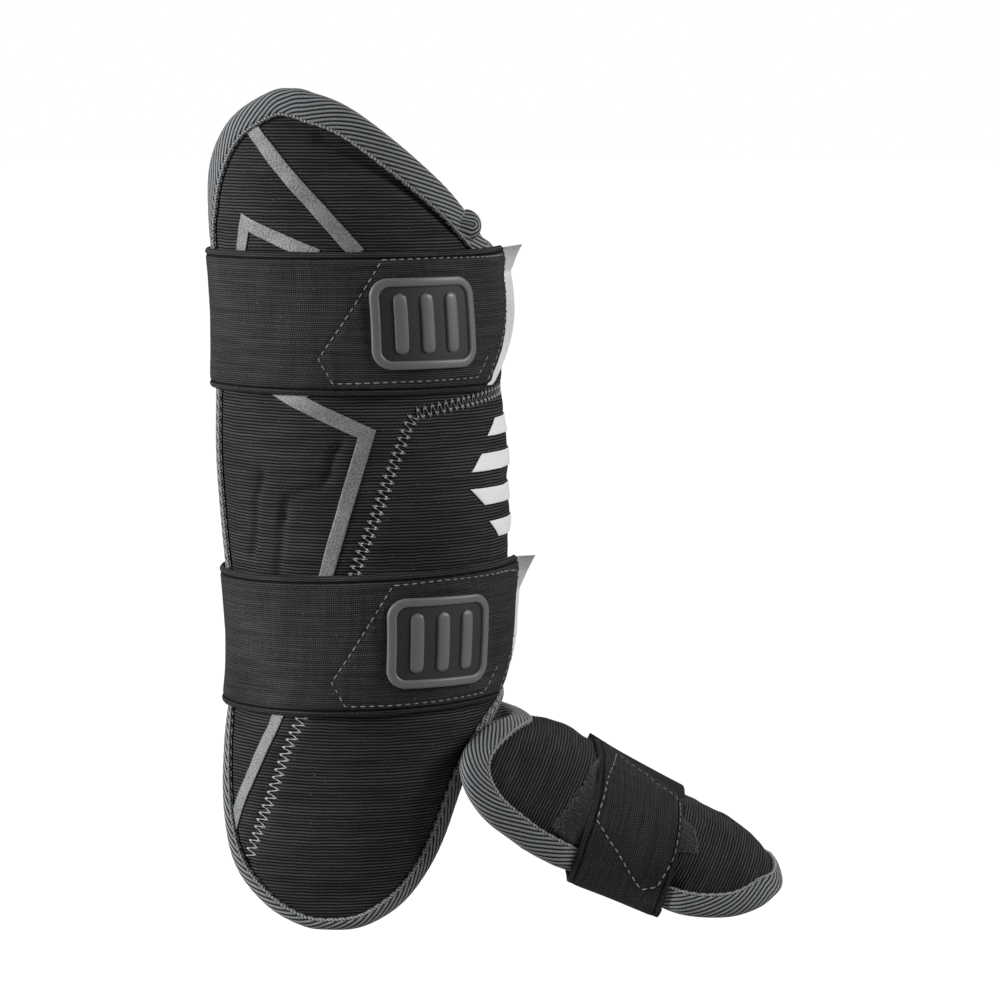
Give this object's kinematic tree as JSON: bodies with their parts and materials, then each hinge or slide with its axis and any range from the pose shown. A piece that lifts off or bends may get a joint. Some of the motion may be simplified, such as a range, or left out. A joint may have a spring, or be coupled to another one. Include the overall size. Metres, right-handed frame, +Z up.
{
  "type": "batter's leg guard with foot guard",
  "caption": "Padded shin shell with wide hook-and-loop straps round the calf, and a padded foot guard strapped under the foot, bound with grey tape.",
  "frame": {"origin": "the middle of the leg that the shin shell wraps, halfway up the shell", "axes": "+Z up the leg, +X the front of the shin and the way the toes point, -Y the side that the shell covers, -X the calf"},
  "size_m": [0.2761, 0.1349, 0.3907],
  "materials": {
    "pad_cloth": "ribbed cloth, matte",
    "tape_cloth": "twill tape, matte",
    "strap_webbing": "woven elastic",
    "hook_cloth": "fuzzy",
    "tab_leather": "grained",
    "grey_film": "satin",
    "white_film": "satin",
    "grey_rubber": "satin"
  },
  "bodies": {
    "root": {"shin_pad": "pad_cloth", "shin_binding": "tape_cloth", "upper_strap": "strap_webbing", "upper_hook_patch": "hook_cloth", "upper_pull_tab": "tab_leather", "upper_grip_badge": "grey_rubber", "lower_strap": "strap_webbing", "lower_hook_patch": "hook_cloth", "lower_pull_tab": "tab_leather", "lower_grip_badge": "grey_rubber", "stripe_knee_bar": "grey_film", "stripe_knee_vee": "grey_film", "stripe_shin_bend": "grey_film", "stripe_ankle_bar": "grey_film", "front_mark_1": "white_film", "front_mark_2": "white_film", "front_mark_3": "white_film", "front_mark_4": "white_film", "foot_pad": "pad_cloth", "foot_binding": "tape_cloth", "foot_strap": "strap_webbing", "foot_loop_patch": "hook_cloth", "foot_pull_tab": "strap_webbing", "ankle_tether": "strap_webbing"}
  },
  "joints": []
}
